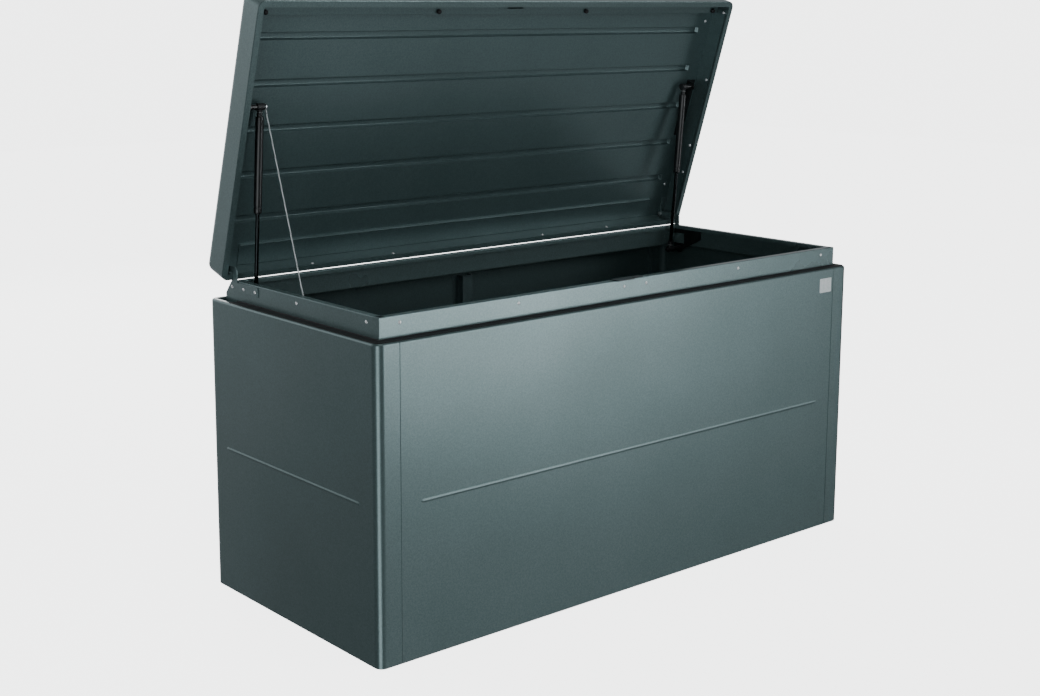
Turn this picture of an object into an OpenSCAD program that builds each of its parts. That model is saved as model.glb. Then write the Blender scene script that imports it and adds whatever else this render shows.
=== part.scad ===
// Garden storage box in coated sheet steel, drawn with its lid propped open.
// X runs to the right, Y to the rear and Z up. The origin is on the ground at the centre of the base.
// Lid pieces are drawn with the lid closed and turned to the open position about the hinge line.

/* [Box] */
// Width across the side walls
box_w = 1600; // [1300:10:2000]
// Depth from the front wall to the rear wall
box_d = 700; // [640:10:860]
// Height of the walls above the ground
wall_h = 734; // [620:1:800]
// Height of the box with its lid closed
total_h = 835; // [835:1:900]
// Bend radius of the upright corners
corner_r = 20; // [12:1:30]
// Thickness of the wall, floor and lid sheet
sheet_t = 1.2; // [0.8:0.1:2]
// Width of the side panel's strip on the front and rear faces
side_return = 61; // [50:1:90]

/* [Rim] */
// Setback of the front and side rails from the wall faces
rim_inset = 28; // [24:1:32]
// Setback of the rear rail from the rear wall, which leaves room for the lid's rear skirt
rim_rear_inset = 76; // [72:1:90]
// Height of the rim's top above the walls
rim_h = 51; // [46:1:52]
// Thickness of the rim profiles
rim_t = 1.5; // [1:0.1:2]
// Width of the rim's inward top flange
rim_flange = 18; // [14:1:20]

/* [Lid] */
// Depth of the lid from its roof to its lower edge
lid_depth = 80; // [78:1:84]
// Radius of the fold between the roof and the skirts
lid_edge_r = 22; // [12:1:24]
// Width of the inward hem at the lid's lower edge
lid_hem = 16; // [10:1:18]
// Angle between the closed lid and the open lid
lid_open = 73; // [60:1:75]
// Number of stiffening grooves pressed into the liner
groove_count = 5; // [3:1:5]

/* [Struts] */
// Distance of each gas strut from the box's middle
strut_x = 728; // [560:1:728]
// Radius of the strut's cylinder
strut_cyl_r = 10; // [8:0.5:11]
// Radius of the strut's rod
strut_rod_r = 5; // [3:0.5:5]

/* [Hidden] */

half_w = box_w / 2;
half_d = box_d / 2;
gap = 0.3;

// Walls
foot_gap = 3;
top_flange = 12;
gutter_drop = 8;
bottom_flange = 20;
seam_gap = 1;
seam_x = half_w - side_return;
seam_fold = 15;
bead_r = 5;
bead_proud = 2;
bead_z = wall_h / 2;
front_bead_l = box_w - 234;
side_bead_l = box_d - 138;

// Base rails, standing on the walls' bottom flanges
base_z = foot_gap + sheet_t;
base_h = 17;
base_rail_y = half_d - bottom_flange - 18;
floor_z = base_z + base_h;
bolt_z = [130, bead_z - 30, 620];

// Rim
rim_x = half_w - rim_inset;
rim_front_y = -half_d + rim_inset;
rim_rear_y = half_d - rim_rear_inset;
rim_top = wall_h + rim_h;
rim_foot = wall_h - gutter_drop - gap - rim_t;
rim_lip = 10;
rim_tail_y = half_d - 35.5;
rim_tail_top_y = half_d - 65;
rim_tail_z = wall_h + 16;
rivet_z = rim_top - 16.5;
rivet_r = 4.2;
front_rivet_x = [38, 377.5, 717];
bracket_rivet_y = [half_d - 70, half_d - 122, half_d - 174];
side_rivet_y = [0, -half_d + 75];

// Hinge line, inside the lid's rear edge
hinge_y = half_d - 12;
hinge_z = total_h - 25;
pin_r = 4;
pin_clearance = 0.05;
bracket_t = 2.5;
bracket_x = rim_x + bracket_t;
plate_x = bracket_x + 0.5;
arm_top = hinge_z + 8.5;
arm_bottom = hinge_z - 6;

// Lid, as it lies when closed
lid_bottom = total_h - lid_depth;
liner_z = total_h - 14;
liner_t = 1;
liner_inset = 3.4;
liner_x = half_w - liner_inset;
rail_face_z = rim_top + 8;
rail_rear_y = -half_d + 45.5;
groove_w = 17;
groove_depth = 8;
groove_half_l = half_w - 48;
groove_pitch = 116;
groove_first_y = -half_d + 105.5;
rear_rail_y = half_d - 62;
buffer_r = 6;
buffer_y = -half_d + 38;
buffer_x = [252, 757];
liner_screw_x = half_w - 27;
liner_screw_y = [-half_d + 78.5, half_d - 278, half_d - 106];
skirt_rivet_y = [-half_d + 41.5, -half_d + 247, half_d - 246, half_d - 159];
skirt_rivet_z = lid_bottom + 27;
rear_rivet_x = [265, 520];

// Struts: lower pivots on the rim, upper pivots on the lid
lower_y = half_d - 99;
lower_z = wall_h - 19;
upper_closed_y = -77;
upper_closed_z = rim_top + 18;
socket_r = 9;
socket_half = 9;
stud_r = 4;
cylinder_l = 235;
cylinder_drop = 22;
cylinder_wall = 1.8;
guide_l = 10;
rod_top = 300;
piston_l = 12;

// Rotates a point given as [y, z] from the closed lid to the open lid
function opened_point(p) = [
  hinge_y + (p[0] - hinge_y) * cos(lid_open) + (p[1] - hinge_z) * sin(lid_open),
  hinge_z - (p[0] - hinge_y) * sin(lid_open) + (p[1] - hinge_z) * cos(lid_open)
];
upper = opened_point([upper_closed_y, upper_closed_z]);
strut_length = norm([upper[0] - lower_y, upper[1] - lower_z]);
strut_lean = atan2(lower_y - upper[0], upper[1] - lower_z);

// Stay cable, from the left strut's upper stud to the middle of the left rail
cable_r = 1.5;
cable_top = [-strut_x + 14.5, upper[0], upper[1]];
cable_end = [-rim_x + 22, side_rivet_y[0], rivet_z];
lower_ferrule = [6, 18];
upper_ferrule = [7, 18];

// Lock, in the middle of the lid's front skirt
lock_z = lid_bottom + 20;
barrel_r = 9;
plug_r = 6;
cam_y = -half_d + 18;
cam_l = 31;
cam_w = 12;
cam_t = 2.5;

steel = "#4f6566";
dark_steel = "#3c4e50";
black = "#16191b";
zinc = "#c9cfd0";
pale = "#e6efee";

// ---- Shared shapes ----

// Rectangle with round corners, centred on the origin
module round_rect(w, d, r) {
  square([w - 2 * r, d], center = true);
  square([w, d - 2 * r], center = true);
  for (x = [-1, 1], y = [-1, 1])
    translate([x * (w / 2 - r), y * (d / 2 - r)])
      circle(r, $fn = 64);
}

// Ring of the box's plan between two insets from its faces
module plan_ring(outer, inner) {
  difference() {
    round_rect(box_w - 2 * outer, box_d - 2 * outer, max(corner_r - outer, 1));
    round_rect(box_w - 2 * inner, box_d - 2 * inner, max(corner_r - inner, 1));
  }
}

// Wall, folded top edge with its down-turned lip, and folded bottom edge, all round the box
module wall_ring() {
  translate([0, 0, foot_gap])
    linear_extrude(wall_h - foot_gap)
      plan_ring(0, sheet_t);
  translate([0, 0, wall_h - sheet_t])
    linear_extrude(sheet_t)
      plan_ring(0, top_flange);
  translate([0, 0, wall_h - gutter_drop])
    linear_extrude(gutter_drop)
      plan_ring(top_flange, top_flange + sheet_t);
  translate([0, 0, foot_gap])
    linear_extrude(sheet_t)
      plan_ring(0, bottom_flange);
}

// Rod with round ends along X, for pressed beads
module bead_rod(l, r) {
  rotate([0, 90, 0])
    cylinder(h = l - 2 * r, r = r, center = true, $fn = 48);
  for (s = [-1, 1])
    translate([s * (l / 2 - r), 0, 0])
      sphere(r, $fn = 48);
}

// Presses an outward bead of length l into the wall at y = -half, drawn as a child
module with_bead(l, half) {
  difference() {
    union() {
      children();
      intersection() {
        translate([0, -half + bead_r - bead_proud, bead_z])
          bead_rod(l, bead_r);
        translate([-l, -half - bead_r, bead_z - bead_r])
          cube([2 * l, bead_r + sheet_t, 2 * bead_r]);
      }
    }
    translate([0, -half + bead_r - bead_proud, bead_z])
      bead_rod(l - 2 * sheet_t, bead_r - sheet_t);
  }
}

// Upright fold inside a seam edge of the front wall
module seam_fold_strip(x) {
  difference() {
    translate([x, -half_d, foot_gap + bottom_flange])
      cube([sheet_t, seam_fold, wall_h - foot_gap - bottom_flange - gutter_drop - 4]);
    for (z = bolt_z)
      translate([0, -half_d + 9, z])
        bar_x(x - 1, x + sheet_t + 1, 3.2);
  }
}

// Flat plate standing across X: its outline is given in Y and Z
module upright_plate(x0, x1) {
  translate([x0, 0, 0])
    rotate([90, 0, 90])
      linear_extrude(x1 - x0)
        children();
}

// Round bar along X
module bar_x(x0, x1, r) {
  translate([x0, 0, 0])
    rotate([0, 90, 0])
      cylinder(h = x1 - x0, r = r, $fn = 48);
}

// Domed rivet head on the XY plane
module rivet() {
  rotate_extrude($fn = 48)
    polygon([[0, 0], [rivet_r, 0], [rivet_r, 0.8], [2.6, 1.7], [0, 2]]);
}

// Turns the closed lid's pieces to the open position
module opened() {
  translate([0, hinge_y, hinge_z])
    rotate([-lid_open, 0, 0])
      translate([0, -hinge_y, -hinge_z])
        children();
}

// Draws children on the strut's own axis: Z runs from the lower pivot to the upper one
module on_strut() {
  translate([0, lower_y, lower_z])
    rotate([strut_lean, 0, 0])
      children();
}

// Right-hand copy of a left-hand piece
module to_right() {
  mirror([1, 0, 0])
    children();
}

// ---- Walls and base ----

module left_side_panel() {
  color(steel)
    union() {
      rotate([0, 0, -90])
        with_bead(side_bead_l, half_w)
          rotate([0, 0, 90])
            intersection() {
              wall_ring();
              translate([-half_w, -half_d, 0])
                cube([side_return, box_d, wall_h]);
            }
      for (m = [0, 1])
        mirror([0, m, 0])
          seam_fold_strip(-seam_x - sheet_t);
    }
}

module right_side_panel() {
  to_right()
    left_side_panel();
}

module front_panel() {
  color(steel)
    union() {
      with_bead(front_bead_l, half_d)
        intersection() {
          wall_ring();
          translate([-seam_x + seam_gap, -half_d, 0])
            cube([2 * (seam_x - seam_gap), half_d, wall_h]);
        }
      seam_fold_strip(-seam_x + seam_gap);
      seam_fold_strip(seam_x - seam_gap - sheet_t);
    }
}

module rear_panel() {
  mirror([0, 1, 0])
    front_panel();
}

// Floor sheet with raised ribs along X; it lies on the base rails
module floor_panel_left() {
  color(dark_steel) {
    difference() {
      translate([-half_w + sheet_t + gap, -half_d + seam_fold + 2, floor_z])
        cube([half_w - sheet_t - 2 * gap, box_d - 2 * seam_fold - 4, sheet_t]);
      for (y = [-200, 0, 200])
        translate([-half_w + 80, y - 15, floor_z - 1])
          cube([half_w - 160, 30, sheet_t + 2]);
    }
    for (y = [-200, 0, 200])
      translate([-half_w + 80, y - 15, floor_z])
        difference() {
          cube([half_w - 160, 30, 5]);
          translate([sheet_t, sheet_t, -1])
            cube([half_w - 160 - 2 * sheet_t, 30 - 2 * sheet_t, 6 - sheet_t]);
        }
  }
}

module floor_panel_right() {
  to_right()
    floor_panel_left();
}

// Channel section along X, open underneath
module channel_x(l, w, h, t) {
  difference() {
    translate([-l / 2, -w / 2, 0])
      cube([l, w, h]);
    translate([-l / 2 - 1, -w / 2 + t, -1])
      cube([l + 2, w - 2 * t, h + 1 - t]);
  }
}

module base_rail_front() {
  color(dark_steel)
    translate([0, -base_rail_y, base_z])
      channel_x(box_w - 2 * bottom_flange - 8, 40, base_h, 2);
}

module base_rail_rear() {
  mirror([0, 1, 0])
    base_rail_front();
}

module base_cross_rails() {
  color(dark_steel)
    for (x = [-half_w + 90, 0, half_w - 90])
      translate([x, 0, base_z])
        rotate([0, 0, 90])
          channel_x(2 * base_rail_y - 40.6, 40, base_h, 2);
}

foot_places = concat([[0, 0]], [for (x = [-1, 0, 1], y = [-1, 1]) [x * (half_w - 90), y * base_rail_y]]);

module feet() {
  color(black)
    for (p = foot_places)
      translate([p[0], p[1], 0])
        rotate_extrude($fn = 64)
        polygon([[0, 0], [15.5, 0], [16.5, 1], [16.5, 7], [14, 7], [14, floor_z - 2], [0, floor_z - 2]]);
}

// Hat sections that stiffen the middle of the front and rear walls
module wall_stiffeners() {
  inner = half_d - sheet_t;
  color(dark_steel)
    for (m = [0, 1])
      mirror([0, m, 0])
        translate([0, -inner, 60])
          linear_extrude(wall_h - 90)
            for (part = [[-35, 0, 20, sheet_t], [15, 0, 20, sheet_t], [-15, 20, 30, sheet_t],
                         [-15 - sheet_t, 0, sheet_t, 20 + sheet_t], [15, 0, sheet_t, 20 + sheet_t]])
              translate([part[0], part[1]])
                square([part[2], part[3]]);
}

// Bolts through the paired folds behind each seam
module seam_bolts() {
  color(zinc)
    for (sx = [0, 1], sy = [0, 1], z = bolt_z)
      mirror([sx, 0, 0])
        mirror([0, sy, 0])
          translate([-seam_x, -half_d + 9, z]) {
            bar_x(-8, 6, 3);
            rotate([0, 90, 0])
              translate([0, 0, 1 + sheet_t])
                cylinder(h = 4, r = 5.5, $fn = 6);
            rotate([0, 90, 0])
              translate([0, 0, -sheet_t - 4])
                cylinder(h = 4, r = 5.5, $fn = 6);
          }
}

// ---- Rim ----

module rim_front() {
  color(steel)
    translate([-rim_x, rim_front_y, 0])
      union() {
        translate([0, 0, rim_foot])
          cube([2 * rim_x, rim_t, rim_top - rim_foot]);
        translate([rim_t + gap, 0, rim_top - rim_t])
          cube([2 * (rim_x - rim_t - gap), rim_flange, rim_t]);
        translate([rim_flange, rim_flange - rim_t, rim_top - rim_lip])
          cube([2 * (rim_x - rim_flange), rim_t, rim_lip]);
        translate([-rim_inset + corner_r, -rim_inset + sheet_t + gap, rim_foot])
          cube([2 * (half_w - corner_r), rim_inset - sheet_t - gap, rim_t]);
      }
}

module rim_rear() {
  inner_x = rim_x - rim_t - gap;
  color(steel)
    translate([-inner_x, rim_rear_y, 0])
      union() {
        translate([0, -rim_t, rim_foot])
          cube([2 * inner_x, rim_t, rim_top - rim_foot]);
        translate([0, -rim_flange, rim_top - rim_t])
          cube([2 * inner_x, rim_flange, rim_t]);
        translate([rim_flange, -rim_flange, rim_top - rim_lip])
          cube([2 * (inner_x - rim_flange), rim_t, rim_lip]);
        translate([0, 0, rim_foot])
          cube([2 * inner_x, rim_rear_inset - sheet_t - gap, rim_t]);
      }
}

// Side rail: it runs on past the rear rail, with a slanted end that clears the lid's rear skirt
module rim_left() {
  start_y = rim_front_y + rim_t + gap;
  flange_y0 = rim_front_y + rim_flange + gap;
  flange_y1 = rim_rear_y - rim_flange - gap;
  color(steel)
    union() {
      upright_plate(-rim_x, -rim_x + rim_t)
        polygon([[start_y, rim_foot], [rim_tail_y, rim_foot], [rim_tail_y, rim_tail_z],
                 [rim_tail_top_y, rim_top], [start_y, rim_top]]);
      translate([-rim_x, flange_y0, rim_top - rim_t])
        cube([rim_flange, flange_y1 - flange_y0, rim_t]);
      translate([-rim_x + rim_flange - rim_t, flange_y0, rim_top - rim_lip])
        cube([rim_t, flange_y1 - flange_y0, rim_lip]);
      translate([-half_w + sheet_t + gap, start_y, rim_foot])
        cube([rim_inset - sheet_t - gap, half_d - corner_r - start_y, rim_t]);
    }
}

module rim_right() {
  to_right()
    rim_left();
}

// Angle pieces inside the rim's four corners
module rim_corner_brackets() {
  front = rim_front_y + rim_t + 2 * gap;
  rear = rim_rear_y - rim_t - gap;
  leg = 42;
  color(steel)
    for (m = [0, 1])
      mirror([m, 0, 0])
        translate([-rim_x + rim_t + gap, 0, rim_foot + 6])
          linear_extrude(30)
            for (c = [[0, front, 1], [bracket_t + gap, rear, -1]])
              translate([c[0], c[1]])
                mirror([0, c[2] < 0 ? 1 : 0]) {
                  square([rim_t, leg]);
                  square([leg, rim_t]);
                }
}

module rim_rivets() {
  color(zinc) {
    for (x = front_rivet_x, s = [-1, 1])
      translate([s * x, rim_front_y, rivet_z])
        rotate([90, 0, 0])
          rivet();
    for (s = [0, 1])
      mirror([s, 0, 0]) {
        for (y = side_rivet_y)
          translate([-rim_x, y, rivet_z])
            rotate([0, -90, 0])
              rivet();
        for (y = bracket_rivet_y)
          translate([-bracket_x, y, rivet_z])
            rotate([0, -90, 0])
              rivet();
      }
  }
}

// Blank plate on the front wall
module name_plate() {
  plate_w = 48;
  plate_h = 39;
  color(pale)
    translate([seam_x - 9 - plate_w / 2, -half_d, wall_h - 44.5])
      rotate([90, 0, 0])
        linear_extrude(1)
          round_rect(plate_w, plate_h, 2);
}

// Strip on the rim, with a tongue that the lock's cam turns under
module latch_keeper() {
  keeper_t = 2;
  color(black)
    translate([0, rim_front_y, rim_top])
      union() {
        translate([-69, 0, 0])
          cube([96, rim_flange, keeper_t]);
        translate([-69, -11.5, 0])
          cube([55, 12, keeper_t]);
      }
}

// ---- Hinges ----

// Plate riveted on the side rail: its neck rises past the lid's rear skirt and carries the pin
module hinge_bracket_left() {
  front_y = half_d - 185;
  neck_y = half_d - 92;
  color(steel)
    difference() {
      upright_plate(-bracket_x, -rim_x) {
        polygon([[front_y, rim_top - 27], [rim_tail_top_y - 1, rim_top - 27], [rim_tail_top_y - 1, rim_top - 4],
                 [neck_y + 18, rim_top - 1], [neck_y + 18, arm_bottom - 4], [neck_y + 24, arm_bottom],
                 [hinge_y, arm_bottom - 2.5], [hinge_y, arm_top], [neck_y + 8, arm_top],
                 [neck_y, arm_top - 10], [neck_y, rim_top - 4], [front_y, rim_top - 4]]);
        translate([hinge_y, hinge_z])
          circle(8.5, $fn = 64);
      }
      translate([0, hinge_y, hinge_z])
        bar_x(-bracket_x - 1, -rim_x + 1, pin_r + pin_clearance);
    }
}

module hinge_bracket_right() {
  to_right()
    hinge_bracket_left();
}

// Angle under the liner, beside the bracket's neck, that the pin is held in
module lid_hinge_plate_left() {
  color(steel)
    opened()
      difference() {
        union() {
          upright_plate(-plate_x - bracket_t, -plate_x) {
            polygon([[hinge_y - 30, liner_z], [hinge_y - 7, hinge_z - 1], [hinge_y + 7, hinge_z - 1],
                     [hinge_y + 7, liner_z]]);
            translate([hinge_y, hinge_z])
              circle(7.3, $fn = 64);
          }
          translate([-half_w + 5.5, hinge_y - 48, liner_z - 1.5])
            cube([half_w - 5.5 - plate_x, 46, 1.5]);
        }
        translate([0, hinge_y, hinge_z])
          bar_x(-plate_x - bracket_t - 1, -plate_x + 1, pin_r);
      }
}

module lid_hinge_plate_right() {
  to_right()
    lid_hinge_plate_left();
}

module hinge_pin_left() {
  color(zinc)
    translate([0, hinge_y, hinge_z]) {
      bar_x(-plate_x - bracket_t, -rim_x + gap, pin_r);
      bar_x(-plate_x - bracket_t - 2, -plate_x - bracket_t, 6.5);
      bar_x(-rim_x + gap, -rim_x + gap + 2, 6.5);
    }
}

module hinge_pin_right() {
  to_right()
    hinge_pin_left();
}

// ---- Lid ----

// Outline that is square below and has round upper corners
module arch(w, h, r) {
  translate([-w / 2, 0])
    square([w, h - r]);
  translate([-w / 2 + r, 0])
    square([w - 2 * r, h]);
  for (s = [-1, 1])
    translate([s * (w / 2 - r), h - r])
      circle(r, $fn = 96);
}

// Solid form of the closed lid, set in from its outer faces, from height z0 up to the roof
module lid_form(inset, z0) {
  h = total_h - inset - z0;
  w = box_w - 2 * inset;
  d = box_d - 2 * inset;
  translate([0, 0, z0])
    intersection() {
      linear_extrude(h)
        round_rect(w, d, corner_r - inset);
      rotate([90, 0, 0])
        linear_extrude(d + 2, center = true)
          arch(w, h, lid_edge_r - inset);
      rotate([90, 0, 90])
        linear_extrude(w + 2, center = true)
          arch(d, h, lid_edge_r - inset);
    }
}

module lid_shell() {
  color(steel)
    opened()
      difference() {
        union() {
          difference() {
            lid_form(0, lid_bottom);
            lid_form(sheet_t, lid_bottom - 1);
          }
          translate([0, 0, lid_bottom])
            linear_extrude(sheet_t)
              plan_ring(0, lid_hem);
        }
        translate([0, -half_d - 1, lock_z])
          rotate([-90, 0, 0])
            cylinder(h = 5, r = barrel_r + 0.05, $fn = 64);
      }
}

// Inner sheet: pressed grooves, and flanges turned down inside the side and rear skirts
module lid_liner() {
  flange_z = skirt_rivet_z - 9;
  groove_y = [for (i = [0 : groove_count - 1]) groove_first_y + i * groove_pitch];
  color(dark_steel)
    opened()
      union() {
        difference() {
          translate([0, 0, liner_z])
            linear_extrude(liner_t)
              intersection() {
                round_rect(2 * liner_x, box_d - 2 * liner_inset, corner_r - liner_inset);
                translate([-liner_x, rail_rear_y + gap])
                  square([2 * liner_x, box_d]);
              }
          for (y = groove_y)
            translate([-groove_half_l, y - groove_w / 2, liner_z - 1])
              cube([2 * groove_half_l, groove_w, liner_t + 2]);
        }
        for (y = groove_y)
          translate([-groove_half_l - liner_t, y - groove_w / 2 - liner_t, liner_z])
            difference() {
              cube([2 * groove_half_l + 2 * liner_t, groove_w + 2 * liner_t, groove_depth + liner_t]);
              translate([liner_t, liner_t, -1])
                cube([2 * groove_half_l, groove_w, groove_depth + 1]);
            }
        for (s = [-1, 1])
          translate([s > 0 ? liner_x - liner_t : -liner_x, rail_rear_y + gap, flange_z])
            cube([liner_t, half_d - corner_r - rail_rear_y, liner_z - flange_z]);
        translate([-rim_x + 12, half_d - liner_inset - liner_t, flange_z])
          cube([2 * (rim_x - 12), liner_t, liner_z - flange_z]);
      }
}

// Channel behind the front skirt: its lower face carries the buffers and is notched for the cam
module lid_front_rail() {
  front_y = -half_d + sheet_t + gap;
  half_l = half_w - corner_r;
  color(dark_steel)
    opened()
      difference() {
        union() {
          translate([-half_l, front_y, rail_face_z])
            cube([2 * half_l, rail_rear_y - front_y, 1.5]);
          translate([-half_l, rail_rear_y - 1.5, rail_face_z])
            cube([2 * half_l, 1.5, liner_z + liner_t - rail_face_z]);
          translate([-half_l, front_y, rail_face_z])
            cube([2 * half_l, 1.5, 16]);
        }
        translate([-27, front_y + 4, rail_face_z - 1])
          cube([54, 26, 4]);
      }
}

// Shallow doubler under the rear of the liner, between the hinge plates
module lid_rear_rail() {
  color(dark_steel)
    opened()
      translate([-half_w + 80, rear_rail_y, liner_z - 1.5])
        union() {
          cube([box_w - 160, half_d - 5 - rear_rail_y, 1.5]);
          translate([0, 0, -6])
            cube([box_w - 160, 1.5, 6]);
        }
}

module lid_buffers() {
  color(black)
    opened()
      for (x = buffer_x, s = [-1, 1])
        translate([s * x, buffer_y, rim_top + gap])
          rotate_extrude($fn = 48)
            polygon([[0, 0], [buffer_r - 1.5, 0], [buffer_r, 1.5], [buffer_r, rail_face_z - rim_top - gap],
                     [0, rail_face_z - rim_top - gap]]);
}

module lid_rivets() {
  color(zinc)
    opened() {
      for (s = [0, 1])
        mirror([s, 0, 0]) {
          for (y = liner_screw_y)
            translate([liner_screw_x, y, y > 0 && y < upper_closed_y + 160 ? liner_z - 2 : liner_z])
              mirror([0, 0, 1])
                rivet();
          for (y = skirt_rivet_y)
            translate([liner_x - liner_t, y, skirt_rivet_z])
              rotate([0, -90, 0])
                rivet();
          for (x = rear_rivet_x)
            translate([x, half_d - liner_inset - liner_t, skirt_rivet_z])
              rotate([90, 0, 0])
                rivet();
        }
    }
}

// ---- Struts ----

// Plate inside the side rail, with the fixed stud that the rod's socket turns on
module strut_anchor_left() {
  plate_front = half_d - 185;
  plate_rear = rim_rear_y - rim_t - 1;
  plate_out = -rim_x + rim_t + gap;
  color(black)
    union() {
      upright_plate(plate_out, plate_out + bracket_t) {
        polygon([[plate_front, rim_top - 38], [lower_y - 14, lower_z - 4], [plate_rear, lower_z - 4],
                 [plate_rear, rim_top - 12], [plate_front, rim_top - 12]]);
        translate([lower_y, lower_z])
          circle(14, $fn = 64);
      }
      translate([0, lower_y, lower_z]) {
        bar_x(plate_out + bracket_t, -strut_x + socket_half + 7, stud_r);
        bar_x(-strut_x - socket_half - 4, -strut_x + socket_half + 4, stud_r);
        bar_x(plate_out + bracket_t, -strut_x - socket_half - gap, 7);
        bar_x(-strut_x + socket_half + gap, -strut_x + socket_half + 2.5, 6);
      }
    }
}

module strut_anchor_right() {
  to_right()
    strut_anchor_left();
}

// Triangular plate under the liner with the stud for the cylinder's socket
module strut_mount_left() {
  plate_in = -half_w + 42;
  y0 = upper_closed_y;
  z0 = upper_closed_z;
  color(black)
    opened()
      union() {
        upright_plate(plate_in - 3, plate_in) {
          polygon([[y0 - 14, liner_z], [y0 - 12, z0 - 6], [y0 + 12, z0 - 8], [y0 + 160, liner_z]]);
          translate([y0, z0])
            circle(13, $fn = 64);
        }
        translate([-half_w + 10, y0 - 14, liner_z - 2])
          cube([29, 174, 2]);
        translate([0, y0, z0])
          bar_x(plate_in - 1, -strut_x - socket_half - 0.4, 6.5);
      }
}

module strut_mount_right() {
  to_right()
    strut_mount_left();
}

module strut_socket_lower_left() {
  color(black)
    on_strut()
      difference() {
        union() {
          bar_x(-strut_x - socket_half, -strut_x + socket_half, socket_r);
          translate([-strut_x, 0, 0])
            cylinder(h = 24, r = 7, $fn = 48);
        }
        bar_x(-strut_x - socket_half - 1, -strut_x + socket_half + 1, stud_r + pin_clearance);
        translate([-strut_x, 0, 14])
          cylinder(h = 11, r = strut_rod_r, $fn = 48);
      }
}

module strut_socket_lower_right() {
  to_right()
    strut_socket_lower_left();
}

// Rod with its piston
module strut_rod_left() {
  color(zinc)
    on_strut()
      translate([-strut_x, 0, 0]) {
        translate([0, 0, 14])
          cylinder(h = rod_top - 14 - piston_l, r = strut_rod_r, $fn = 48);
        translate([0, 0, rod_top - piston_l])
          cylinder(h = piston_l, r = strut_cyl_r - cylinder_wall - 0.1, $fn = 48);
      }
}

module strut_rod_right() {
  to_right()
    strut_rod_left();
}

module strut_cylinder_left() {
  top = strut_length - cylinder_drop;
  bottom = top - cylinder_l;
  color(black)
    on_strut()
      translate([-strut_x, 0, 0])
        rotate_extrude($fn = 64)
          polygon([[strut_rod_r + pin_clearance, bottom], [strut_cyl_r - 1, bottom], [strut_cyl_r, bottom + 1],
                   [strut_cyl_r, top - 1], [strut_cyl_r - 1, top], [0, top], [0, top - 6],
                   [strut_cyl_r - cylinder_wall, top - 6], [strut_cyl_r - cylinder_wall, bottom + guide_l],
                   [strut_rod_r + pin_clearance, bottom + guide_l]]);
}

module strut_cylinder_right() {
  to_right()
    strut_cylinder_left();
}

module strut_socket_upper_left() {
  color(black)
    on_strut()
      translate([0, 0, strut_length]) {
        bar_x(-strut_x - socket_half, -strut_x + socket_half, socket_r);
        translate([-strut_x, 0, -cylinder_drop])
          cylinder(h = cylinder_drop, r = 6.5, $fn = 48);
      }
}

module strut_socket_upper_right() {
  to_right()
    strut_socket_upper_left();
}

// ---- Stay cable ----

cable_run = cable_top - cable_end;
cable_l = norm(cable_run);
cable_turn = [0, acos(cable_run[2] / cable_l), atan2(cable_run[1], cable_run[0])];

module stay_cable() {
  color(pale)
    translate(cable_end)
      rotate(cable_turn)
        translate([0, 0, lower_ferrule[1]])
          cylinder(h = cable_l - lower_ferrule[1] - upper_ferrule[1] - gap, r = cable_r, $fn = 32);
}

// Eye on a spacer that stands off the left side rail, with the cable's lower ferrule
module stay_eye_lower() {
  color(zinc)
    translate(cable_end) {
      bar_x(rim_t - 22, -1.5, 3);
      bar_x(-1.5, 1.5, 6.5);
      bar_x(1.5, 3.5, 4);
      rotate(cable_turn)
        translate([0, 0, lower_ferrule[0]])
          cylinder(h = lower_ferrule[1] - lower_ferrule[0], r = 2.4, $fn = 32);
    }
}

// Eye on the inner end of the left strut's upper pivot, with the cable's upper ferrule
module stay_eye_upper() {
  color(zinc)
    translate(cable_top) {
      bar_x(-5.5, -1.5, 4);
      bar_x(-1.5, 1.5, 7.5);
      bar_x(1.5, 3.5, 5);
      rotate(cable_turn)
        translate([0, 0, -upper_ferrule[1]])
          cylinder(h = upper_ferrule[1] - upper_ferrule[0], r = 2.4, $fn = 32);
    }
}

// ---- Lock ----

// Draws children on the lock's axis: local Z points forwards out of the skirt, from its outer face
module on_lock() {
  opened()
    translate([0, -half_d, lock_z])
      rotate([90, 0, 0])
        children();
}

module lock_housing() {
  color(zinc)
    on_lock()
      rotate_extrude($fn = 64)
        polygon([[plug_r + pin_clearance, -13], [barrel_r, -13], [barrel_r, 0], [12, 0], [12, 1], [11, 2],
                 [plug_r + pin_clearance, 2]]);
}

module lock_plug() {
  color(zinc)
    on_lock()
      difference() {
        union() {
          translate([0, 0, -17.5])
            cylinder(h = 19.2, r = plug_r, $fn = 64);
        }
        translate([-0.8, -3.5, -5])
          cube([1.6, 7, 8]);
      }
}

// Cam on the end of the plug; it points up while the lock is open
module lock_cam() {
  color(black)
    on_lock()
      translate([0, 0, -17.6 - cam_t])
        linear_extrude(cam_t)
          union() {
            circle(9, $fn = 64);
            translate([-cam_w / 2, 0])
              square([cam_w, cam_l - cam_w / 2]);
            translate([0, cam_l - cam_w / 2])
              circle(cam_w / 2, $fn = 48);
          }
}

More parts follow.
